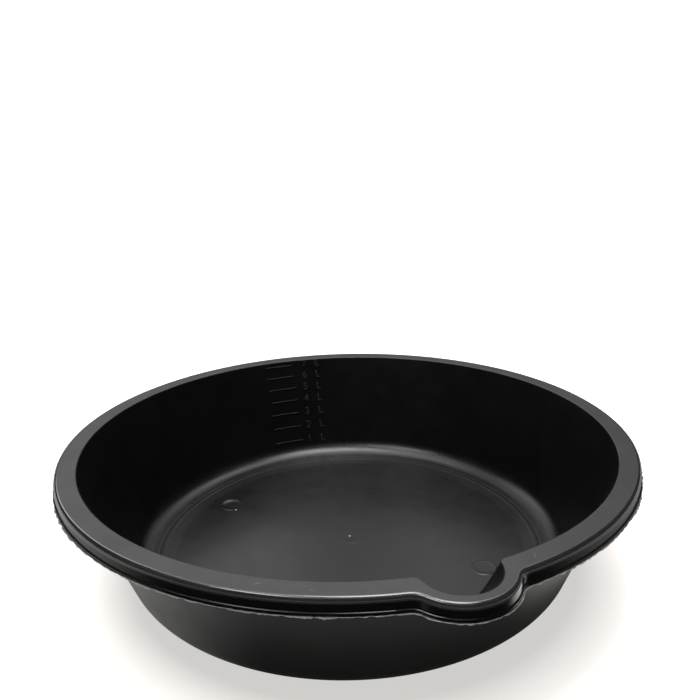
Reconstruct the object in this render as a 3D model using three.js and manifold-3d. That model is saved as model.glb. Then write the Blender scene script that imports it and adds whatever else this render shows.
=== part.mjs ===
// Round oil drain pan with a pouring spout, in millimetres, +Z up.
// The origin is on the pan's axis, on the surface it rests on. The spout points along -Y.
// The pan is one moulding of even wall thickness, so it is one mesh.
import * as THREE from "three";
import { mergeVertices } from "three/addons/utils/BufferGeometryUtils.js";
import Module from "manifold-3d";

const wasm = await Module();
wasm.setup();

// ---- Driving dimensions ----
const HEIGHT = 87.5; // base to the rim's top face
const WALL = 2.3; // wall thickness everywhere
const MOUTH_RADIUS = 182.8; // inner edge of the rim's top face
const DRAFT = THREE.MathUtils.degToRad(20); // lean of the side wall from upright
const FLOOR_FILLET = 15.7; // inside radius between floor and side wall
const PANEL_RADIUS = 125.4; // the flat middle of the floor
const FLOOR_RISE = 1; // how far the floor's border rises from the flat middle to the fillet

const RIM_RADIUS = 197; // outer face of the rim's skirt
const RIM_ROUND = 3; // rounding between the rim's top face and its skirt
const SKIRT_DROP = 9.4; // rim's top face to the skirt's lower edge

const NOSE_CENTRE = 179.4; // pan's axis to the centre of the skirt round the spout
const NOSE_RADIUS = 32; // outer face of that skirt
const NOSE_BLEND = 8; // concave blend between that skirt and the rest of the skirt
const CHANNEL_CENTRE = 182.2; // pan's axis to the centre of the spout's channel at the rim
const CHANNEL_RADIUS = 21.4; // inside of the channel at the rim
const CHANNEL_TAPER = 0.19; // how much the channel narrows for each millimetre down
const CHANNEL_DEPTH = 37.5; // the channel runs out into the side wall this far below the rim

const LITRE_MARKS = 7; // raised marks inside the wall, one for each litre
const MARK_LENGTH = 27;
const MARK_HEIGHT = 1.2;
const MARK_PROUD = 0.5;
const MARK_BEARING = THREE.MathUtils.degToRad(93.5);

const RIM_STEPS = 96; // straight facets round the rim
const NOSE_STEPS = 20;
const BLEND_STEPS = 5;
const FILLET_STEPS = 6;
const ROUND_STEPS = 3;
const MARK_STEPS = 5;
const VOLUME_SLICES = 400;
const LITRE = 1e6; // in cubic millimetres
const LEVEL_TOLERANCE = 0.01;
const OVERRUN = 2; // how far a cutter runs past the face it cuts

// ---- Worked out from them ----
const FILLET_CENTRE_HEIGHT = WALL + FLOOR_RISE + FLOOR_FILLET;
const WALL_RUN = HEIGHT - FILLET_CENTRE_HEIGHT + FLOOR_FILLET * Math.sin(DRAFT);
const FLOOR_RADIUS = MOUTH_RADIUS - Math.tan(DRAFT) * WALL_RUN - FLOOR_FILLET * Math.cos(DRAFT);
const CHANNEL_FRONT = CHANNEL_CENTRE + CHANNEL_RADIUS;
const CHANNEL_RUN = CHANNEL_FRONT - wallRadius(HEIGHT - CHANNEL_DEPTH);
const CHANNEL_SLOPE = CHANNEL_RUN / CHANNEL_DEPTH; // of the line the oil runs down, at the front

// Inside radius of the side wall at a height above its fillet.
function wallRadius(height) {
  return MOUTH_RADIUS - Math.tan(DRAFT) * (HEIGHT - height);
}

// ---- Helpers ----
function arcPoints(centre, radius, from, to, steps) {
  return Array.from({ length: steps + 1 }, (_, i) => {
    const angle = from + ((to - from) * i) / steps;
    return new THREE.Vector2(
      centre.x + radius * Math.cos(angle),
      centre.y + radius * Math.sin(angle),
    );
  });
}

function solid(geometry) {
  geometry.deleteAttribute("normal");
  geometry.deleteAttribute("uv");
  const merged = mergeVertices(geometry, 1e-4);
  const made = new wasm.Manifold(
    new wasm.Mesh({
      numProp: 3,
      vertProperties: merged.attributes.position.array,
      triVerts: new Uint32Array(merged.index.array),
    }),
  );
  return made;
}

function geometryOf(manifold) {
  const mesh = manifold.getMesh();
  const geometry = new THREE.BufferGeometry();
  geometry.setAttribute("position", new THREE.BufferAttribute(mesh.vertProperties, 3));
  geometry.setIndex(new THREE.BufferAttribute(mesh.triVerts, 1));
  geometry.computeVertexNormals();
  return geometry;
}

// A profile of (radius, height) points turned about the pan's axis.
function turned(profile) {
  const geometry = new THREE.LatheGeometry(profile, RIM_STEPS);
  return solid(geometry.rotateX(Math.PI / 2));
}

// A plan outline raised from one height to another.
function raised(points, bottom, top) {
  const shape = new THREE.Shape(points);
  const geometry = new THREE.ExtrudeGeometry(shape, { depth: top - bottom, bevelEnabled: false });
  return solid(geometry.translate(0, 0, bottom));
}

// ---- The bowl ----
// Half section of the bowl, out from the axis and up: its inside, or its outside when grown by the wall.
function bowlProfile(grow, top) {
  const centre = new THREE.Vector2(FLOOR_RADIUS, FILLET_CENTRE_HEIGHT);
  const floor = WALL - grow;
  const fillet = arcPoints(centre, FLOOR_FILLET + grow, -Math.PI / 2, -DRAFT, FILLET_STEPS);
  const wallTop = wallRadius(top) + grow / Math.cos(DRAFT);
  return [
    new THREE.Vector2(0, floor),
    new THREE.Vector2(PANEL_RADIUS, floor),
    ...fillet,
    new THREE.Vector2(wallTop, top),
    new THREE.Vector2(0, top),
  ];
}

// ---- The spout's channel ----
// A leaning cone that narrows downwards until it meets the side wall: the channel's inside, or its
// outside when grown by a distance level with the rim.
function channel(grow, top) {
  const above = top - HEIGHT;
  const wide = CHANNEL_RADIUS + CHANNEL_TAPER * above + grow;
  const narrow = CHANNEL_RADIUS - CHANNEL_TAPER * CHANNEL_DEPTH + grow;
  const depth = CHANNEL_DEPTH + above;
  const geometry = new THREE.CylinderGeometry(wide, narrow, depth, 2 * NOSE_STEPS);
  geometry.rotateX(Math.PI / 2);
  geometry.translate(0, 0, above - depth / 2);
  geometry.applyMatrix4(leanAcross(CHANNEL_TAPER - CHANNEL_SLOPE));
  geometry.translate(0, -CHANNEL_CENTRE, HEIGHT);
  return solid(geometry);
}

// Moves a point along Y by the given share of its height.
function leanAcross(share) {
  return new THREE.Matrix4().set(1, 0, 0, 0, 0, 1, share, 0, 0, 0, 1, 0, 0, 0, 0, 1);
}

// ---- The rim ----
// Plan outline of the skirt, inset by a distance: the rim's circle, the spout's nose and two blends.
function rimOutline(inset) {
  const blendReach = RIM_RADIUS + NOSE_BLEND;
  const noseReach = NOSE_RADIUS + NOSE_BLEND;
  const cosine =
    (blendReach ** 2 + NOSE_CENTRE ** 2 - noseReach ** 2) / (2 * NOSE_CENTRE * blendReach);
  const spread = Math.acos(cosine); // from the spout's axis to either blend
  const front = -Math.PI / 2;
  const nose = new THREE.Vector2(0, -NOSE_CENTRE);
  const right = new THREE.Vector2(
    blendReach * Math.cos(front + spread),
    blendReach * Math.sin(front + spread),
  );
  const left = new THREE.Vector2(-right.x, right.y);
  const noseTurn = Math.atan2(right.y - nose.y, right.x - nose.x);
  const blend = NOSE_BLEND + inset;
  const round = arcPoints(
    new THREE.Vector2(0, 0),
    RIM_RADIUS - inset,
    front + spread,
    front - spread + 2 * Math.PI,
    RIM_STEPS,
  );
  const leftBlend = arcPoints(left, blend, Math.PI / 2 - spread, -noseTurn, BLEND_STEPS);
  const tip = arcPoints(
    nose,
    NOSE_RADIUS - inset,
    -Math.PI - noseTurn,
    noseTurn,
    NOSE_STEPS,
  );
  const rightBlend = arcPoints(
    right,
    blend,
    Math.PI + noseTurn,
    Math.PI / 2 + spread,
    BLEND_STEPS,
  );
  return [...round, ...leftBlend.slice(1), ...tip.slice(1), ...rightBlend.slice(1, -1)];
}

// Top face, rounded edge and skirt, open underneath.
function rim() {
  const skirtFoot = HEIGHT - SKIRT_DROP;
  const block = new THREE.ExtrudeGeometry(new THREE.Shape(rimOutline(0)), {
    depth: SKIRT_DROP,
    bevelThickness: RIM_ROUND,
    bevelSize: RIM_ROUND,
    bevelOffset: -RIM_ROUND,
    bevelSegments: ROUND_STEPS,
  });
  block.translate(0, 0, HEIGHT - RIM_ROUND - SKIRT_DROP);
  const below = new THREE.BoxGeometry(3 * RIM_RADIUS, 3 * RIM_RADIUS, HEIGHT);
  below.translate(0, 0, skirtFoot - HEIGHT / 2);
  const hollow = raised(rimOutline(WALL), skirtFoot - OVERRUN, HEIGHT - WALL);
  return solid(block).subtract(solid(below)).subtract(hollow);
}

// ---- The litre marks ----
// What the bowl holds up to a height, in litres, added up from thin level slices.
function litresTo(height) {
  const slice = (height - WALL) / VOLUME_SLICES;
  let volume = 0;
  for (let i = 0; i < VOLUME_SLICES; i++) {
    const radius = insideRadius(WALL + (i + 0.5) * slice);
    volume += Math.PI * radius ** 2 * slice;
  }
  return volume / LITRE;
}

// Inside radius of the bowl at any height: its side wall, its fillet, or the flat middle of its floor.
function insideRadius(height) {
  if (height > FILLET_CENTRE_HEIGHT - FLOOR_FILLET * Math.sin(DRAFT)) return wallRadius(height);
  const drop = FILLET_CENTRE_HEIGHT - height;
  if (drop > FLOOR_FILLET) return PANEL_RADIUS;
  return FLOOR_RADIUS + Math.sqrt(FLOOR_FILLET ** 2 - drop ** 2);
}

function heightOfLitres(litres) {
  let low = WALL;
  let high = HEIGHT;
  while (high - low > LEVEL_TOLERANCE) {
    const middle = (low + high) / 2;
    if (litresTo(middle) < litres) low = middle;
    else high = middle;
  }
  return (low + high) / 2;
}

// A short raised bar that follows the wall round, rooted in it.
function litreMark(litres) {
  const height = heightOfLitres(litres);
  const radius = wallRadius(height);
  const half = MARK_LENGTH / 2 / radius;
  const centre = new THREE.Vector2(0, 0);
  const face = radius - MARK_PROUD;
  const root = radius + WALL / 2;
  const from = MARK_BEARING - half;
  const to = MARK_BEARING + half;
  const outline = [
    ...arcPoints(centre, root, from, to, MARK_STEPS),
    ...arcPoints(centre, face, to, from, MARK_STEPS),
  ];
  return raised(outline, height - MARK_HEIGHT / 2, height + MARK_HEIGHT / 2);
}

// ---- The pan ----
function pan() {
  const shellTop = HEIGHT - WALL / 2;
  let body = rim()
    .add(turned(bowlProfile(WALL, shellTop)))
    .add(channel(WALL * Math.hypot(1, CHANNEL_SLOPE), shellTop))
    .subtract(turned(bowlProfile(0, HEIGHT + OVERRUN)))
    .subtract(channel(0, HEIGHT + OVERRUN));
  for (let litres = 1; litres <= LITRE_MARKS; litres++) body = body.add(litreMark(litres));
  const material = new THREE.MeshStandardMaterial({
    color: 0x2b2b2a,
    roughness: 0.45,
    metalness: 0,
  });
  const mesh = new THREE.Mesh(geometryOf(body), material);
  mesh.name = "pan";
  return mesh;
}

const drainPan = new THREE.Group();
drainPan.add(pan());
export default drainPan;
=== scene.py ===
"""Oil drain pan: the visual model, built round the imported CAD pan. Metres, +Z up, spout towards -Y."""

import math

import bpy
from mathutils import Matrix, Vector, noise


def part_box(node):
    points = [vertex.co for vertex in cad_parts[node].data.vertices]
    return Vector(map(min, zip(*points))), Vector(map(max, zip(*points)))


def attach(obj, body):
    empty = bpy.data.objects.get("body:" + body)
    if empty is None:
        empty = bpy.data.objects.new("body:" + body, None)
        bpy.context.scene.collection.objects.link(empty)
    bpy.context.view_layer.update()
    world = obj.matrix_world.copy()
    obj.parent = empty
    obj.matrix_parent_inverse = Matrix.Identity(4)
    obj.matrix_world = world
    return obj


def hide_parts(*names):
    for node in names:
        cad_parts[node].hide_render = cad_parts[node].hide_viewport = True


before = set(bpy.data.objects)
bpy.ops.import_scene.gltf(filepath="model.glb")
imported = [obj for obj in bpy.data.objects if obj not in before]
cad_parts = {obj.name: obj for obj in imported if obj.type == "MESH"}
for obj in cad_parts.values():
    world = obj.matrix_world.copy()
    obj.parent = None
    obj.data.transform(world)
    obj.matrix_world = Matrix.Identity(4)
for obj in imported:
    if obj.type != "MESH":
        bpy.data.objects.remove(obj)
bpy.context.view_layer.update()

PAN_LOW, PAN_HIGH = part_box("pan")
MM = 0.001

# ---- Driving dimensions, as the CAD part has them ----
HEIGHT = PAN_HIGH.z
RIM_RADIUS = PAN_HIGH.y
WALL = 2.3 * MM
MOUTH_RADIUS = 182.8 * MM
DRAFT = math.radians(20)
FLOOR_FILLET = 15.7 * MM
PANEL_RADIUS = 125.4 * MM
FLOOR_RISE = 1 * MM
SKIRT_DROP = 9.4 * MM
NOSE_CENTRE = 179.4 * MM
NOSE_RADIUS = -PAN_LOW.y - NOSE_CENTRE
NOSE_BLEND = 8 * MM
CHANNEL_CENTRE = 182.2 * MM
CHANNEL_RADIUS = 21.4 * MM
CHANNEL_TAPER = 0.19
CHANNEL_DEPTH = 37.5 * MM
LITRE_MARKS = 7
MARK_LENGTH = 27 * MM
MARK_HEIGHT = 1.2 * MM
MARK_PROUD = 0.5 * MM
MARK_BEARING = math.radians(93.5)

# ---- Finer than the CAD part ----
RIM_ROUND = 3 * MM
MOUTH_ROUND = 0.6 * MM
THROAT_ROUND = 4.5 * MM
SKIRT_INSET = 0.7 * MM
LEDGE_DROP = 7.4 * MM
FOOT_WIDTH = 5 * MM
FOOT_RECESS = 0.5 * MM
BEAD_RADIUS = 136 * MM
BEAD_WIDTH = 0.7 * MM
BEAD_RISE = 0.16 * MM
GROOVE_RADIUS = 138.8 * MM
GROOVE_WIDTH = 1.6 * MM
GROOVE_DEPTH = 0.3 * MM
PLAIN_FROM = 14 * MM    # reach at which the marks round the gate are left behind

# ---- Marks left by the mould and by use ----
EJECTOR_RADIUS = 8.5 * MM
# Name, bearing in degrees, reach, height of the raised edge in millimetres, and how unevenly it stands.
EJECTOR_MARKS = (
    ("ejector_mark_back", 134.3, 109.6 * MM, 0.5, 1),
    ("ejector_mark_front", -42.8, 102.5 * MM, 0.25, 0.3),
)
# Name, bearing in degrees, reach, radius and rise of each stump of torn plastic on the floor.
PIPS = (
    ("ejector_pip", 137.2, 101.5 * MM, 0.8 * MM, 0.4 * MM),
    ("gate_stump", 0, 0, 1.1 * MM, 0.7 * MM),
)
FLASH_THICKNESS = 0.35 * MM
FLASH_LEAST = 0.12 * MM
FLASH_MOST = 2 * MM
FLASH_LIFT = 0.45 * MM
FLASH_SECTIONS = 2400
TAG_BEARING = -111.5    # degrees, where the flash is widest
TAG_SPREAD = 2.2        # degrees
FLASH_ROOT = 0.25 * MM    # how far inside the skirt's face it starts
TEARS, FRAYS, SWELLS, LIFTS = 260, 800, 30, 340    # cells of each noise in a metre of the flash
SCRATCH_WIDTH = 0.4 * MM
SCRATCH_RISE = 0.04 * MM
# The two ends of each scratch, as bearing in degrees and reach in millimetres.
SCRATCHES = (((-76.4, 184), (-79.1, 193)), ((-119, 186), (-121.5, 190)), ((-113, 189), (-111.5, 191)))
NUMERAL_BEARING = math.radians(84)
NUMERAL_HEIGHT = 6.5 * MM
NUMERAL_EXTRUDE = 0.45 * MM
NUMERAL_BEVEL = 0.2 * MM
NUMERAL_SPACING = 1.6

# ---- Worked out from them ----
FRONT = math.radians(-90)
FILLET_HEIGHT = WALL + FLOOR_RISE + FLOOR_FILLET
WALL_FOOT = FILLET_HEIGHT - FLOOR_FILLET * math.sin(DRAFT)
CHANNEL_FOOT = HEIGHT - CHANNEL_DEPTH - 2 * MM


def wall_radius(height):
    """Inside radius of the side wall."""
    return MOUTH_RADIUS - math.tan(DRAFT) * (HEIGHT - height)


FLOOR_RADIUS = wall_radius(WALL_FOOT) - FLOOR_FILLET * math.cos(DRAFT)
CHANNEL_SLOPE = (CHANNEL_CENTRE + CHANNEL_RADIUS - wall_radius(HEIGHT - CHANNEL_DEPTH)) / CHANNEL_DEPTH


# ---- Outlines, as the reach from the axis at each turn from the spout ----
def circle_reach(turn, centre, radius):
    """How far a ray from the axis runs before it leaves a circle whose centre is on the spout's line."""
    across = centre * math.sin(turn)
    return centre * math.cos(turn) + math.sqrt(max(radius * radius - across * across, 0))


def lobed_reach(turn, main, centre, lobe, blend):
    """Reach of a round outline with a round lobe at the spout, and a blend in each corner between them."""
    turn = abs(turn)
    blend_reach = main + blend
    lobe_reach = lobe + blend
    if centre + lobe <= main:
        return main
    cosine = (blend_reach**2 + centre**2 - lobe_reach**2) / (2 * centre * blend_reach)
    spread = math.acos(min(cosine, 1))
    if turn >= spread:
        return main
    lobe_centre = Vector((centre, 0))
    blend_centre = Vector((blend_reach * math.cos(spread), blend_reach * math.sin(spread)))
    join = lobe_centre + (blend_centre - lobe_centre) * (lobe / lobe_reach)
    if turn <= math.atan2(join.y, join.x):
        return circle_reach(turn, centre, lobe)
    off = turn - spread
    return blend_reach * math.cos(off) - math.sqrt(max(blend**2 - (blend_reach * math.sin(off)) ** 2, 0))


def channel_circle(height):
    """Centre and radius of the spout's channel at a height; its back leans down into the wall."""
    depth = HEIGHT - height
    radius = CHANNEL_RADIUS - CHANNEL_TAPER * depth
    centre = CHANNEL_CENTRE + CHANNEL_RADIUS - CHANNEL_SLOPE * depth - radius
    return centre, radius


def inner_reach(turn, height):
    """The inside of the side wall with the spout's channel let into it."""
    centre, radius = channel_circle(height)
    return lobed_reach(turn, wall_radius(height), centre, radius, THROAT_ROUND)


def outer_reach(turn, height):
    """The outside of the side wall with the back of the channel standing out of it."""
    centre, radius = channel_circle(height)
    wall = wall_radius(height) + WALL / math.cos(DRAFT)
    back = radius + WALL * math.hypot(1, CHANNEL_SLOPE)
    return lobed_reach(turn, wall, centre, back, THROAT_ROUND - WALL)


def rim_reach(turn, inset):
    """The skirt's outline, inset by a length."""
    return lobed_reach(turn, RIM_RADIUS - inset, NOSE_CENTRE, NOSE_RADIUS - inset, NOSE_BLEND + inset)


# ---- Mesh helpers ----
def steps(first, last, count):
    return [first + (last - first) * i / count for i in range(count + 1)]


def spread_turns():
    """Turns from the spout, close together across the spout and wide elsewhere."""
    fine_to = math.radians(11)
    fine = steps(-fine_to, fine_to, 160)[:-1]
    coarse = steps(fine_to, 2 * math.pi - fine_to, 220)[:-1]
    return fine + coarse


def fixed(reach, height):
    """A station that is a plain circle."""
    return lambda turn: (reach, height)


def ring_points(turns, stations):
    """One ring of points for each station, which gives the reach and height at any turn."""
    points = []
    for station in stations:
        for turn in turns:
            reach, height = station(turn)
            angle = FRONT + turn
            points.append(Vector((reach * math.cos(angle), reach * math.sin(angle), height)))
    return points


def ring_faces(rings, count, loop):
    """Quads between neighbouring rings, and from the last ring back to the first on a loop."""
    faces = []
    for low in range(rings if loop else rings - 1):
        high = (low + 1) % rings
        for j in range(count):
            k = (j + 1) % count
            faces.append((low * count + j, low * count + k, high * count + k, high * count + j))
    return faces


def link(name, mesh):
    piece = bpy.data.objects.new(name, mesh)
    bpy.context.scene.collection.objects.link(piece)
    return piece


def finish_piece(piece):
    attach(piece, "root")


def make_piece(name, points, faces, material, rounded=True, place=(0, 0, 0)):
    """A small piece on the pan, shaded round or with every face flat."""
    mesh = bpy.data.meshes.new(name)
    mesh.from_pydata(points, [], faces)
    mesh.materials.append(material)
    mesh.polygons.foreach_set("use_smooth", [rounded] * len(faces))
    mesh.update()
    piece = link(name, mesh)
    piece.location = place
    finish_piece(piece)


def floor_place(bearing, reach):
    """A point on the flat middle of the floor."""
    return (reach * math.cos(bearing), reach * math.sin(bearing), WALL)


# ---- The pan ----
def floor_stations():
    """The floor: a faint ring round the gate, the flat panel, its rising border, the bead and the groove."""
    stations = [fixed(2 * MM, WALL)]
    for reach, rise in ((6.6, 0), (7.1, 0.07), (7.8, 0.07), (8.3, 0)):
        stations.append(fixed(reach * MM, WALL + rise * MM))
    edge = 0.6 * MM
    for reach in steps(PLAIN_FROM, PANEL_RADIUS - edge, 12):
        stations.append(fixed(reach, WALL))
    stations.append(fixed(PANEL_RADIUS, WALL + 0.06 * MM))
    groove_foot = GROOVE_RADIUS - GROOVE_WIDTH / 2
    for reach in steps(PANEL_RADIUS + edge, groove_foot, 32):
        share = (reach - PANEL_RADIUS) / (groove_foot - PANEL_RADIUS)
        bead = BEAD_RISE * math.exp(-(((reach - BEAD_RADIUS) / BEAD_WIDTH) ** 2))
        stations.append(fixed(reach, WALL + FLOOR_RISE * share**1.3 + bead))
    for share, depth in ((0.3, 1), (0.6, 1), (1, 0)):
        stations.append(fixed(groove_foot + share * GROOVE_WIDTH, WALL + FLOOR_RISE - depth * GROOVE_DEPTH))
    return stations


def inside_stations():
    """The floor, its fillet and the side wall up to the mouth."""
    stations = floor_stations()
    for angle in steps(-math.pi / 2, -DRAFT, 16):
        reach = FLOOR_RADIUS + FLOOR_FILLET * math.cos(angle)
        stations.append(fixed(reach, FILLET_HEIGHT + FLOOR_FILLET * math.sin(angle)))
    for height in steps(WALL_FOOT, CHANNEL_FOOT, 8)[1:]:
        stations.append(fixed(wall_radius(height), height))
    for height in steps(CHANNEL_FOOT, HEIGHT - MOUTH_ROUND, 40)[1:]:
        stations.append(lambda turn, h=height: (inner_reach(turn, h), h))
    return stations


def top_stations():
    """The rounded edge of the mouth and the flat top of the rim."""
    stations = []
    for angle in steps(0, math.pi / 2, 4)[1:]:
        out = MOUTH_ROUND * (1 - math.cos(angle))
        height = HEIGHT - MOUTH_ROUND * (1 - math.sin(angle))
        stations.append(lambda turn, o=out, h=height: (inner_reach(turn, h) + o, h))
    for share in (0.04, 0.28, 0.52, 0.76, 0.96, 1):
        def flat(turn, s=share):
            inner = inner_reach(turn, HEIGHT) + MOUTH_ROUND
            return inner + (rim_reach(turn, RIM_ROUND) - inner) * s, HEIGHT
        stations.append(flat)
    return stations


def edge_stations():
    """The rim's rounded outer edge."""
    stations = []
    for angle in steps(0, math.pi / 2, 12)[1:]:
        inset = RIM_ROUND + (SKIRT_INSET - RIM_ROUND) * math.sin(angle)
        height = HEIGHT - RIM_ROUND * (1 - math.cos(angle))
        stations.append(lambda turn, i=inset, h=height: (rim_reach(turn, i), h))
    return stations


def skirt_stations():
    """The rim's skirt with the ledge near its foot, and back up the skirt's inside."""
    stations = []
    ledge, foot = HEIGHT - LEDGE_DROP, HEIGHT - SKIRT_DROP
    profile = (
        (SKIRT_INSET, HEIGHT - RIM_ROUND - 0.5 * MM),
        (SKIRT_INSET, ledge + 0.3 * MM),
        (SKIRT_INSET - 0.1 * MM, ledge + 0.05 * MM),
        (0.15 * MM, ledge),
        (0, ledge - 0.2 * MM),
        (0, foot + 0.15 * MM),
        (0.15 * MM, foot),
        (WALL - 0.3 * MM, foot),
        (WALL, foot + 0.3 * MM),
        (WALL, HEIGHT - WALL - 1 * MM),
        (WALL + 0.3 * MM, HEIGHT - WALL - 0.3 * MM),
        (WALL + 1 * MM, HEIGHT - WALL),
    )
    for inset, height in profile:
        stations.append(lambda turn, i=inset, h=height: (rim_reach(turn, i), h))
    return stations


def base_stations():
    """Under the base: the sloping border, the ring it rests on, the recess and a small ring at the gate."""
    stations = []
    for share in (0.8, 0.5, 0.2):
        reach = PANEL_RADIUS + (FLOOR_RADIUS - PANEL_RADIUS) * share
        stations.append(fixed(reach, FLOOR_RISE * share))
    stations.append(fixed(PANEL_RADIUS, 0))
    stations.append(fixed(PANEL_RADIUS - FOOT_WIDTH, 0))
    stations.append(fixed(PANEL_RADIUS - FOOT_WIDTH - 0.6 * MM, FOOT_RECESS))
    for reach in steps(PANEL_RADIUS - 8 * MM, PLAIN_FROM, 8):
        stations.append(fixed(reach, FOOT_RECESS))
    for reach, rise in ((6, 0), (5.4, 0.5), (1.6, 0.5), (1.3, 0)):
        stations.append(fixed(reach * MM, FOOT_RECESS + rise * MM))
    return stations


def outside_stations():
    """Under the rim, down the outside of the wall and in under the base."""
    stations = []
    for share in (0.35, 0.7, 1):
        def under(turn, s=share):
            outer = rim_reach(turn, WALL + 1 * MM)
            inner = outer_reach(turn, HEIGHT - WALL) + 0.8 * MM
            return outer + (inner - outer) * s, HEIGHT - WALL
        stations.append(under)
    for height in steps(HEIGHT - WALL - 0.8 * MM, CHANNEL_FOOT, 40):
        stations.append(lambda turn, h=height: (outer_reach(turn, h), h))
    for height in steps(CHANNEL_FOOT, WALL_FOOT, 8)[1:]:
        stations.append(fixed(wall_radius(height) + WALL / math.cos(DRAFT), height))
    for angle in steps(-DRAFT, -math.pi / 2, 16):
        reach = FLOOR_RADIUS + (FLOOR_FILLET + WALL) * math.cos(angle)
        stations.append(fixed(reach, FILLET_HEIGHT + (FLOOR_FILLET + WALL) * math.sin(angle)))
    return stations + base_stations()


def section_lengths(points, rings, count):
    """How far each ring is along the section, measured opposite the spout."""
    lengths = [0]
    for ring in range(1, rings):
        here = points[ring * count + count // 2]
        before = points[(ring - 1) * count + count // 2]
        lengths.append(lengths[-1] + (here - before).length)
    return lengths


def store_streaks(mesh, lengths):
    """Texture place of each point: distance along the section, with the way round squeezed small."""
    squeeze = 0.12
    streak = mesh.attributes.new("streak", "FLOAT_VECTOR", "POINT")
    for i, point in enumerate(mesh.vertices):
        streak.data[i].vector = (lengths[i], squeeze * point.co.x, squeeze * point.co.y)


def make_pan(materials):
    """The whole moulding as one closed mesh: inside, rim top, edge, skirt and outside, each in its finish."""
    turns = spread_turns()
    count = len(turns)
    groups = (inside_stations(), top_stations(), edge_stations(), skirt_stations(), outside_stations())
    stations = [station for group in groups for station in group]
    rings = len(stations)
    finish_of = [index for index, group in enumerate(groups) for _ in group]
    points = ring_points(turns, stations)
    faces = ring_faces(rings, count, False)
    finishes = [finish_of[i // count + 1] for i in range(len(faces))]

    top_hub, base_hub = len(points), len(points) + 1
    points += [Vector((0, 0, points[0].z)), Vector((0, 0, points[-1].z))]
    last = (rings - 1) * count
    for j in range(count):
        k = (j + 1) % count
        faces += [(k, j, top_hub), (last + j, last + k, base_hub)]
        finishes += [finish_of[0], finish_of[-1]]

    mesh = bpy.data.meshes.new("pan_shell")
    mesh.from_pydata(points, [], faces)
    for material in materials:
        mesh.materials.append(material)
    mesh.polygons.foreach_set("material_index", finishes)
    mesh.polygons.foreach_set("use_smooth", [True] * len(faces))
    lengths = section_lengths(points, rings, count)
    store_streaks(mesh, [length for length in lengths for _ in turns] + [0, lengths[-1]])
    mesh.update()
    piece = link("pan_shell", mesh)
    piece.modifiers.new("even_shading", "WEIGHTED_NORMAL")
    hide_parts("pan")
    finish_piece(piece)


# ---- Ragged flash left along the foot of the skirt ----
def flash_width(bearing, place):
    """How far the flash stands out: a thin torn fin, with a wider tag left of the spout."""
    torn = noise.noise(place * TEARS) + 0.6 * noise.noise(place * FRAYS)
    slow = noise.noise(place * SWELLS)
    tag = math.exp(-(((math.degrees(bearing) - TAG_BEARING) / TAG_SPREAD) ** 2))
    width = (0.5 + 0.6 * slow + 0.7 * torn + 0.9 * tag * (1 + torn)) * MM
    return min(max(width, FLASH_LEAST), FLASH_MOST)


def flash_section(turn):
    """Four corners of the fin's section as reach and height: top root, top edge, bottom edge, bottom root."""
    foot = HEIGHT - SKIRT_DROP
    around = math.remainder(turn, 2 * math.pi)
    root = rim_reach(around, FLASH_ROOT)
    angle = FRONT + turn
    place = Vector((math.cos(angle), math.sin(angle), 0)) * root
    edge = rim_reach(around, -flash_width(FRONT + around, place))
    lift = FLASH_LIFT * noise.noise(place * LIFTS + Vector((5, 5, 5)))
    return (
        (root, foot + FLASH_THICKNESS),
        (edge, foot + lift + FLASH_THICKNESS / 2),
        (edge, foot + lift),
        (root, foot),
    )


def make_flash(material):
    """A closed fin that runs once round the skirt's foot."""
    turns = steps(0, 2 * math.pi, FLASH_SECTIONS)[:-1]
    corners = [lambda turn, c=corner: flash_section(turn)[c] for corner in range(4)]
    points = ring_points(turns, corners)
    faces = [face[::-1] for face in ring_faces(4, FLASH_SECTIONS, True)]
    make_piece("moulding_flash", points, faces, material, rounded=False)


# ---- The litre scale ----
def inside_radius(height):
    """Inside radius of the bowl at any height: side wall, fillet, or the flat middle of the floor."""
    if height > WALL_FOOT:
        return wall_radius(height)
    drop = FILLET_HEIGHT - height
    if drop > FLOOR_FILLET:
        return PANEL_RADIUS
    return FLOOR_RADIUS + math.sqrt(FLOOR_FILLET**2 - drop**2)


def litre_heights():
    """The level of each full litre, found by filling the bowl in thin slices."""
    heights = []
    slice_height = 0.02 * MM
    litres_per_cubic_metre = 1000
    height, volume = WALL, 0.0
    while len(heights) < LITRE_MARKS:
        volume += litres_per_cubic_metre * math.pi * inside_radius(height) ** 2 * slice_height
        height += slice_height
        if volume >= len(heights) + 1:
            heights.append(height)
    return heights


def on_wall(bearing, height, proud):
    """A point on the inside of the wall, or proud of it."""
    reach = wall_radius(height) - proud
    return (reach * math.cos(bearing), reach * math.sin(bearing), height)


def make_litre_mark(litres, height, material):
    """A short raised bar with rounded edges that follows the wall round."""
    half = MARK_LENGTH / 2 / wall_radius(height)
    section = []
    for angle in steps(0, math.pi, 8):
        section.append((MARK_HEIGHT / 2 * math.cos(angle), MARK_PROUD * math.sin(angle) ** 0.7))
    section += [(-MARK_HEIGHT / 2, -MARK_PROUD), (MARK_HEIGHT / 2, -MARK_PROUD)]
    columns = steps(-half, half, 24)
    points = []
    for column, off in enumerate(columns):
        end = min(column, len(columns) - 1 - column)
        full = (0.0, 0.75, 1.0)[min(end, 2)]
        for up, proud in section:
            lifted = proud * full if proud > 0 else proud
            points.append(on_wall(MARK_BEARING + off, height + up, lifted))
    count = len(section)
    faces = ring_faces(len(columns), count, False)
    faces += [tuple(range(count)), tuple(reversed(range(len(points) - count, len(points))))]
    make_piece(f"litre_mark_{litres}", points, faces, material)


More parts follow.
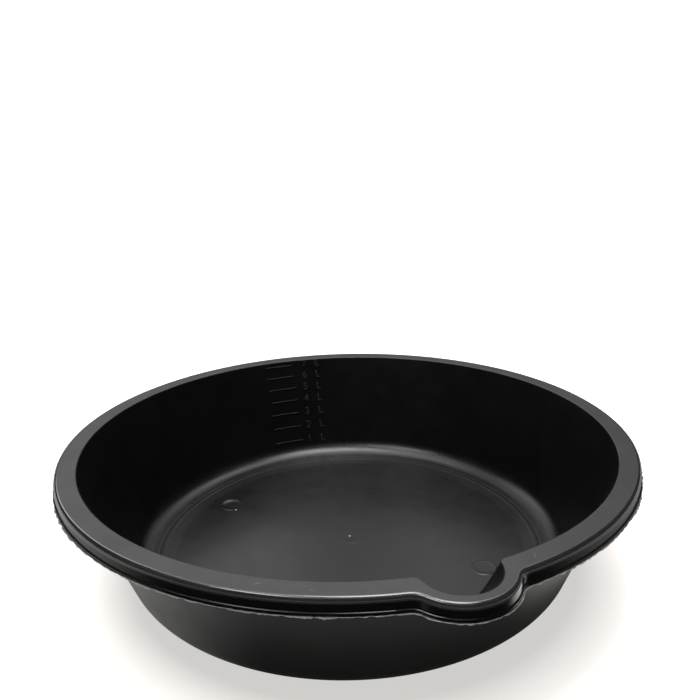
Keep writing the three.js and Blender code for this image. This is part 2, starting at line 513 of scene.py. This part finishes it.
def make_numeral(litres, height, material):
    """A raised figure and L beside a litre mark, wrapped on to the wall."""
    curve = bpy.data.curves.new("numeral", "FONT")
    curve.body = f"{litres} L"
    curve.size = NUMERAL_HEIGHT * 1.4
    curve.space_character = NUMERAL_SPACING
    curve.align_x = "CENTER"
    curve.extrude = NUMERAL_EXTRUDE
    curve.bevel_depth = NUMERAL_BEVEL
    curve.bevel_resolution = 2
    lettering = bpy.data.objects.new("numeral", curve)
    bpy.context.scene.collection.objects.link(lettering)
    name = f"litre_numeral_{litres}"
    mesh = bpy.data.meshes.new_from_object(lettering.evaluated_get(bpy.context.evaluated_depsgraph_get()))
    mesh.name = name
    bpy.data.objects.remove(lettering)
    for point in mesh.vertices:
        across, up, out = point.co
        level = height + (up - 0.35 * NUMERAL_HEIGHT) * math.cos(DRAFT)
        bearing = NUMERAL_BEARING - across / wall_radius(height)
        point.co = on_wall(bearing, level, out)
    mesh.materials.clear()
    mesh.materials.append(material)
    mesh.update()
    finish_piece(link(name, mesh))


# ---- Marks on the floor and the rim ----
def make_ejector_mark(name, bearing, reach, rise, tilt, material):
    """A shallow round pad with a raised edge that stands higher on the side away from the pan's axis."""
    flat = 0.04
    rings = ((1.06, -0.05), (1, rise), (0.95, rise), (0.8, 0.4 * rise), (0.7, flat), (0.3, flat))
    count = 64
    points = []
    for share, level in rings:
        out = EJECTOR_RADIUS * share
        for i in range(count):
            angle = 2 * math.pi * i / count
            lean = 1 + tilt * math.cos(angle - bearing)
            points.append((out * math.cos(angle), out * math.sin(angle), level * lean * MM))
    hub = len(points)
    points.append((0, 0, flat * MM))
    faces = ring_faces(len(rings), count, False)
    faces += [(hub - count + j, hub - count + (j + 1) % count, hub) for j in range(count)]
    make_piece(name, points, faces, material, place=floor_place(bearing, reach))


def make_pip(name, bearing, reach, radius, rise, material):
    """A small domed stump of torn plastic standing on the floor."""
    count = 24
    angles = steps(0, math.pi / 2, 5)[:-1]
    points = []
    for angle in angles:
        share = radius * math.cos(angle)
        for i in range(count):
            around = 2 * math.pi * i / count
            points.append((share * math.cos(around), share * math.sin(around), rise * math.sin(angle)))
    hub = len(points)
    points.append((0, 0, rise))
    faces = ring_faces(len(angles), count, False)
    faces += [(hub - count + j, hub - count + (j + 1) % count, hub) for j in range(count)]
    faces.append(tuple(reversed(range(count))))
    make_piece(name, points, faces, material, place=floor_place(bearing, reach))


def make_scratch(number, first, last, material):
    """A hair-thin raised burr between two places on the rim's top face."""
    ends = []
    for bearing, reach in (first, last):
        angle = math.radians(bearing)
        ends.append(Vector((math.cos(angle), math.sin(angle), 0)) * reach * MM + Vector((0, 0, HEIGHT)))
    side = (ends[1] - ends[0]).cross(Vector((0, 0, 1))).normalized() * SCRATCH_WIDTH / 2
    up = Vector((0, 0, SCRATCH_RISE))
    middle = (ends[0] + ends[1]) / 2
    points = [ends[0] - up, middle + side - up, ends[1] - up, middle - side - up, middle + up]
    faces = [(0, 1, 4), (1, 2, 4), (2, 3, 4), (3, 0, 4), (3, 2, 1, 0)]
    make_piece(f"rim_scratch_{number}", points, faces, material, rounded=False)


# ---- Materials ----
class Finish:
    """A material with one Principled shader, and short ways to add nodes to it."""

    def __init__(self, name):
        self.material = bpy.data.materials.new(name)
        self.material.use_nodes = True
        self.nodes = self.material.node_tree.nodes
        self.links = self.material.node_tree.links
        self.nodes.clear()
        output = self.nodes.new("ShaderNodeOutputMaterial")
        self.shader = self.nodes.new("ShaderNodeBsdfPrincipled")
        self.links.new(self.shader.outputs["BSDF"], output.inputs["Surface"])

    def attribute(self, name):
        node = self.nodes.new("ShaderNodeAttribute")
        node.attribute_name = name
        return node

    def coordinates(self, streaked=False):
        if streaked:
            return self.attribute("streak").outputs["Vector"]
        return self.nodes.new("ShaderNodeTexCoord").outputs["Object"]

    def noise(self, scale, detail=3, streaked=False):
        node = self.nodes.new("ShaderNodeTexNoise")
        node.inputs["Scale"].default_value = scale
        node.inputs["Detail"].default_value = detail
        self.links.new(self.coordinates(streaked), node.inputs["Vector"])
        return node.outputs["Fac"]

    def ramp(self, value, low, high, out_low, out_high):
        node = self.nodes.new("ShaderNodeMapRange")
        node.inputs["From Min"].default_value = low
        node.inputs["From Max"].default_value = high
        node.inputs["To Min"].default_value = out_low
        node.inputs["To Max"].default_value = out_high
        self.links.new(value, node.inputs["Value"])
        return node.outputs["Result"]

    def add(self, first, second):
        node = self.nodes.new("ShaderNodeMath")
        node.operation = "ADD"
        self.links.new(first, node.inputs[0])
        self.links.new(second, node.inputs[1])
        return node.outputs["Value"]

    def blend_colours(self, factor, dark, light):
        node = self.nodes.new("ShaderNodeMix")
        node.data_type = "RGBA"
        node.inputs["A"].default_value = (*dark, 1)
        node.inputs["B"].default_value = (*light, 1)
        self.links.new(factor, node.inputs["Factor"])
        return node.outputs["Result"]

    def bump(self, height, distance, below=None):
        node = self.nodes.new("ShaderNodeBump")
        node.inputs["Distance"].default_value = distance
        self.links.new(height, node.inputs["Height"])
        if below:
            self.links.new(below, node.inputs["Normal"])
        return node.outputs["Normal"]

    def glow(self, colour, matte):
        """Light of the surface's own over a matte colour that mirrors nothing."""
        self.shader.inputs["Base Color"].default_value = (*matte, 1)
        self.shader.inputs["Specular IOR Level"].default_value = 0
        self.shader.inputs["Emission Color"].default_value = (*colour, 1)


def black_plastic(name, shade, rough, wear, grain, wave, shine=0.5, coat=0):
    """Black polypropylene: faintly mottled, with a fine moulded grain, slow waviness and light scuffs."""
    finish = Finish(name)
    shader = finish.shader
    mottle = finish.ramp(finish.noise(35, 4), 0.3, 0.7, 0, 1)
    scuff = finish.ramp(finish.noise(900, 3, streaked=True), 0.58, 0.85, 0, 1)
    tone = finish.add(finish.ramp(mottle, 0, 1, 0, 0.35), finish.ramp(scuff, 0, 1, 0, 0.65 * wear))
    dark = tuple(shade * part for part in (0.9, 0.9, 0.88))
    light = tuple(shade * part for part in (1.9, 1.9, 1.84))
    finish.links.new(finish.blend_colours(tone, dark, light), shader.inputs["Base Color"])
    patchy = finish.ramp(finish.noise(60, 3), 0.3, 0.7, rough - 0.03, rough + 0.03)
    worn = finish.ramp(scuff, 0, 1, 0, 0.08 * wear)
    finish.links.new(finish.add(patchy, worn), shader.inputs["Roughness"])
    slow = finish.bump(finish.noise(22, 1), wave)
    finish.links.new(finish.bump(finish.noise(1400, 2), grain, slow), shader.inputs["Normal"])
    shader.inputs["IOR"].default_value = 1.5
    shader.inputs["Specular IOR Level"].default_value = shine
    shader.inputs["Coat Weight"].default_value = coat
    shader.inputs["Coat Roughness"].default_value = 0.12
    return finish.material


# ---- Studio ----
VIEW_BEARING = math.radians(72.8)    # the way the camera looks, seen from above
CAMERA_PITCH = math.radians(16.15)   # below level
CAMERA_ROLL = math.radians(-1.2)
CAMERA_LENS = 36.7
CAMERA_OFFSET = Vector((2.0, 57.7, 510.7))    # millimetres from the mouth's middle, on the camera's own axes

# The ground's glow is weaker close to the pan's foot: a painted shadow, on top of the shadow the lamps cast.
PAINTED_SHADOW_FADES_FROM, PAINTED_SHADOW_GONE_AT = 0.158, 0.2    # distances from the pan's middle over which the ground brightens
GLOW_IN_PAINTED_SHADOW, GLOW_PAST_PAINTED_SHADOW = 0.62, 1.07
PAPER = (0.5, 0.48, 0.45)
# The glow's warm tint shows mostly in the painted shadow near the foot; further out the ground clips to
# white.
PAPER_GLOW = (1, 0.975, 0.945)
# Tint of the painted reflections that the card gives the outside.
PAINTED_REFLECTION_TINT = (1, 0.99, 0.97)

# Name, place across and along the view and up, width, depth and brightness of each softbox.
SOFTBOXES = (
    ("key", (0.1, 0.05, 1.2), 0.56, 0.44, 9.8),
    ("key_left", (-0.3, 0.3, 1.2), 0.85, 0.55, 2),
    ("front_left", (-0.42, -0.35, 1.1), 0.45, 0.25, 9),
    ("above_back", (0.22, 0.82, 1.4), 0.8, 0.6, 2.7),
    ("above_front", (0, -0.8, 1.4), 0.9, 0.6, 0.65),
)
PANEL_REACH, PANEL_HEIGHT = 1.47, 1.08
PANEL_WIDTH, PANEL_DEPTH = 0.65, 0.75
# Bearing from the camera's right, in degrees, and brightness of each panel behind the pan.
BACK_PANELS = ((130, 2), (110, 1.15), (90, 0.6), (70, 0.7))


def studio_turn():
    return Matrix.Rotation(VIEW_BEARING - math.pi / 2, 4, "Z")


def studio_place(across, along, height):
    """A point given from the pan's axis: across to the camera's right, along the way it looks, and up."""
    return studio_turn() @ Vector((across, along, height))


def make_camera():
    camera = bpy.data.objects.new("camera", bpy.data.cameras.new("camera"))
    camera.data.lens = CAMERA_LENS
    camera.data.clip_start = 0.01
    tilt = Matrix.Rotation(math.pi / 2 - CAMERA_PITCH, 4, "X") @ Matrix.Rotation(CAMERA_ROLL, 4, "Z")
    look = studio_turn() @ tilt
    offset = look.to_3x3() @ CAMERA_OFFSET * MM
    camera.matrix_world = Matrix.Translation(Vector((0, 0, HEIGHT)) + offset) @ look
    bpy.context.scene.collection.objects.link(camera)
    bpy.context.scene.camera = camera


def paper_with_painted_shadow():
    """Pale matte paper with a soft glow of its own that fades close to the pan's foot, as a painted shadow
    there.
    """
    finish = Finish("paper_with_painted_shadow")
    finish.glow(PAPER_GLOW, PAPER)
    finish.shader.inputs["Roughness"].default_value = 0.9
    gradient = finish.nodes.new("ShaderNodeTexGradient")
    gradient.gradient_type = "SPHERICAL"
    finish.links.new(finish.coordinates(), gradient.inputs["Vector"])
    # Weaker glow near the middle: the painted shadow round the pan's foot.
    strength = finish.ramp(gradient.outputs["Fac"], 1 - PAINTED_SHADOW_FADES_FROM, 1 - PAINTED_SHADOW_GONE_AT, GLOW_IN_PAINTED_SHADOW, GLOW_PAST_PAINTED_SHADOW)
    finish.links.new(strength, finish.shader.inputs["Emission Strength"])
    return finish.material


def soft_step(value, low, high):
    """A soft step from 0 to 1 as the value goes from low to high; low may be the greater."""
    share = min(max((value - low) / (high - low), 0), 1)
    return share * share * (3 - 2 * share)


def painted_reflection_glow(bearing, reach):
    """Brightness of the card that the glossy outside mirrors in place of the ground, as painted reflections
    and painted shade; the bearing is from the camera's right.
    """
    right = math.cos(bearing)
    front = -math.sin(bearing)
    # Close to the foot, mirrored low on the wall: the ground's shade, painted dark, paler on the left.
    near = 0.04 + 0.34 * soft_step(right, -0.3, -0.8) + 0.05 * soft_step(right, 0.55, 0.95)
    # Out to the rim's edge and past it, mirrored high on the wall: paler on both sides.
    sideways = soft_step(right, 0.6, 0.8) + 0.3 * soft_step(right, -0.65, -0.9)
    open_ground = soft_step(reach, 168 * MM, 200 * MM) * (0.3 + sideways)
    # Further out, mirrored by the skirt: a painted dark reflection in front, grey on both sides.
    far = soft_step(reach, 245 * MM, 270 * MM)
    grey_sides = 0.5 * soft_step(right, -0.7, -0.95) + 0.3 * soft_step(right, 0.7, 0.95)
    # Behind the pan: never quite dark.
    behind = 0.3 * soft_step(front, 0.1, -0.3)
    return max((near + open_ground) * (1 - far) + grey_sides * far, behind)


def make_painted_reflection_card():
    """A glowing card on the ground that only mirroring surfaces see: it paints reflections of soft greys and
    shade on the outside.
    """
    turns = steps(0, 2 * math.pi, 120)[:-1]
    reaches = (150, 160, 165, 172, 180, 188, 195, 210, 230, 245, 258, 270, 400, 1300)    # millimetres
    points = []
    glow = []
    for reach in reaches:
        for turn in turns:
            out = reach * MM
            points.append(studio_place(out * math.cos(turn), out * math.sin(turn), 1 * MM))
            glow.append(painted_reflection_glow(turn, out))
    mesh = bpy.data.meshes.new("painted_reflection_card")
    mesh.from_pydata(points, [], ring_faces(len(reaches), len(turns), False))
    mesh.attributes.new("glow", "FLOAT", "POINT").data.foreach_set("value", glow)
    finish = Finish("painted_reflection_card")
    finish.glow(PAINTED_REFLECTION_TINT, (0, 0, 0))
    finish.links.new(finish.attribute("glow").outputs["Fac"], finish.shader.inputs["Emission Strength"])
    mesh.materials.append(finish.material)
    card = link("painted_reflection_card", mesh)
    card.visible_camera = False
    card.visible_diffuse = False
    card.visible_shadow = False


def make_floor():
    """A wide sheet just under the pan's foot; its glow, with the painted shadow round the foot, is centred on
    the sheet's own middle.
    """
    half = 8
    mesh = bpy.data.meshes.new("studio_floor")
    corners = ((-1, -1), (1, -1), (1, 1), (-1, 1))
    mesh.from_pydata([(x * half, y * half, 0) for x, y in corners], [], [(0, 1, 2, 3)])
    mesh.materials.append(paper_with_painted_shadow())
    sheet = link("studio_floor", mesh)
    sheet.matrix_world = Matrix.Translation(studio_place(0.004, -0.005, -0.1 * MM)) @ studio_turn()


def make_backdrop():
    """A white dome that only the camera sees."""
    turns = steps(0, 2 * math.pi, 48)[:-1]
    count = len(turns)
    rings = ((7.9, -0.05), (7.9, 2), (6, 5), (3, 7), (0.5, 7.7))
    points = []
    for reach, height in rings:
        for turn in turns:
            points.append((reach * math.cos(turn), reach * math.sin(turn), height))
    faces = ring_faces(len(rings), count, False)
    faces.append(tuple(range(len(points) - count, len(points))))
    white = Finish("white_backdrop")
    white.shader.inputs["Base Color"].default_value = (0, 0, 0, 1)
    white.shader.inputs["Emission Color"].default_value = (1, 1, 1, 1)
    white.shader.inputs["Emission Strength"].default_value = 1
    mesh = bpy.data.meshes.new("white_backdrop")
    mesh.from_pydata(points, [], faces)
    mesh.materials.append(white.material)
    dome = link("white_backdrop", mesh)
    dome.visible_diffuse = False
    dome.visible_glossy = False
    dome.visible_shadow = False


def softbox(name, place, width, depth, radiance):
    """A soft light aimed at the pan, given the brightness of its face."""
    light = bpy.data.lights.new(name, "AREA")
    light.shape = "RECTANGLE"
    light.size, light.size_y = width, depth
    light.energy = radiance * math.pi * width * depth
    lamp = bpy.data.objects.new(name, light)
    lamp.location = place
    lamp.rotation_euler = (Vector((0, 0, 0.05)) - place).to_track_quat("-Z", "Y").to_euler()
    lamp.visible_camera = False
    bpy.context.scene.collection.objects.link(lamp)


def make_lights():
    world = bpy.data.worlds.new("studio")
    world.use_nodes = True
    world.node_tree.nodes["Background"].inputs["Color"].default_value = (1, 1, 1, 1)
    world.node_tree.nodes["Background"].inputs["Strength"].default_value = 0.02
    bpy.context.scene.world = world
    for name, place, width, depth, radiance in SOFTBOXES:
        softbox(name, studio_place(*place), width, depth, radiance)
    for bearing, radiance in BACK_PANELS:
        angle = math.radians(bearing)
        place = studio_place(PANEL_REACH * math.cos(angle), PANEL_REACH * math.sin(angle), PANEL_HEIGHT)
        softbox(f"back_panel_{bearing}", place, PANEL_WIDTH, PANEL_DEPTH, radiance)
    bpy.context.scene.view_settings.view_transform = "Standard"


# ---- Everything, in order ----
make_camera()

inside = black_plastic("satin_inside", shade=0.0032, rough=0.3, wear=0.05, grain=0.012 * MM, wave=0.4 * MM)
rim_top = black_plastic("matte_rim_top", shade=0.03, rough=0.5, wear=1, grain=0.03 * MM, wave=0.1 * MM)
rim_edge = black_plastic(
    "smooth_rim_edge", shade=0.022, rough=0.22, wear=0.6, grain=0.01 * MM, wave=0.08 * MM, coat=1
)
skirt = black_plastic("glossy_skirt", shade=0.003, rough=0.18, wear=0.6, grain=0.008 * MM, wave=0.1 * MM)
outside = black_plastic("satin_outside", shade=0.006, rough=0.34, wear=0.4, grain=0.015 * MM, wave=0.2 * MM)
# Light grey: the whitening of torn and scratched plastic, and on the flash, gate stump and pip partly a
# painted highlight.
torn = black_plastic("torn_edge_with_painted_highlight", shade=0.3, rough=0.45, wear=1, grain=0.02 * MM, wave=0.05 * MM)
marks = black_plastic(
    "raised_marks", shade=0.005, rough=0.5, wear=0.3, grain=0.012 * MM, wave=0.1 * MM, shine=0.22
)
figures = black_plastic(
    "raised_figures", shade=0.016, rough=0.5, wear=0.3, grain=0.012 * MM, wave=0.1 * MM, shine=0.35
)

make_pan((inside, rim_top, rim_edge, skirt, outside))
# The flash's light grey is partly a painted highlight along the skirt's foot.
make_flash(torn)
for litres, level in enumerate(litre_heights(), 1):
    make_litre_mark(litres, level, marks)
    make_numeral(litres, level, figures)
for name, bearing, reach, rise, tilt in EJECTOR_MARKS:
    make_ejector_mark(name, math.radians(bearing), reach, rise, tilt, inside)
# The pip and gate stump are light grey: whitened torn plastic and partly a painted highlight.
for name, bearing, reach, radius, rise in PIPS:
    make_pip(name, math.radians(bearing), reach, radius, rise, torn)
for number, (first, last) in enumerate(SCRATCHES, 1):
    make_scratch(number, first, last, torn)
make_floor()
make_painted_reflection_card()
make_backdrop()
make_lights()
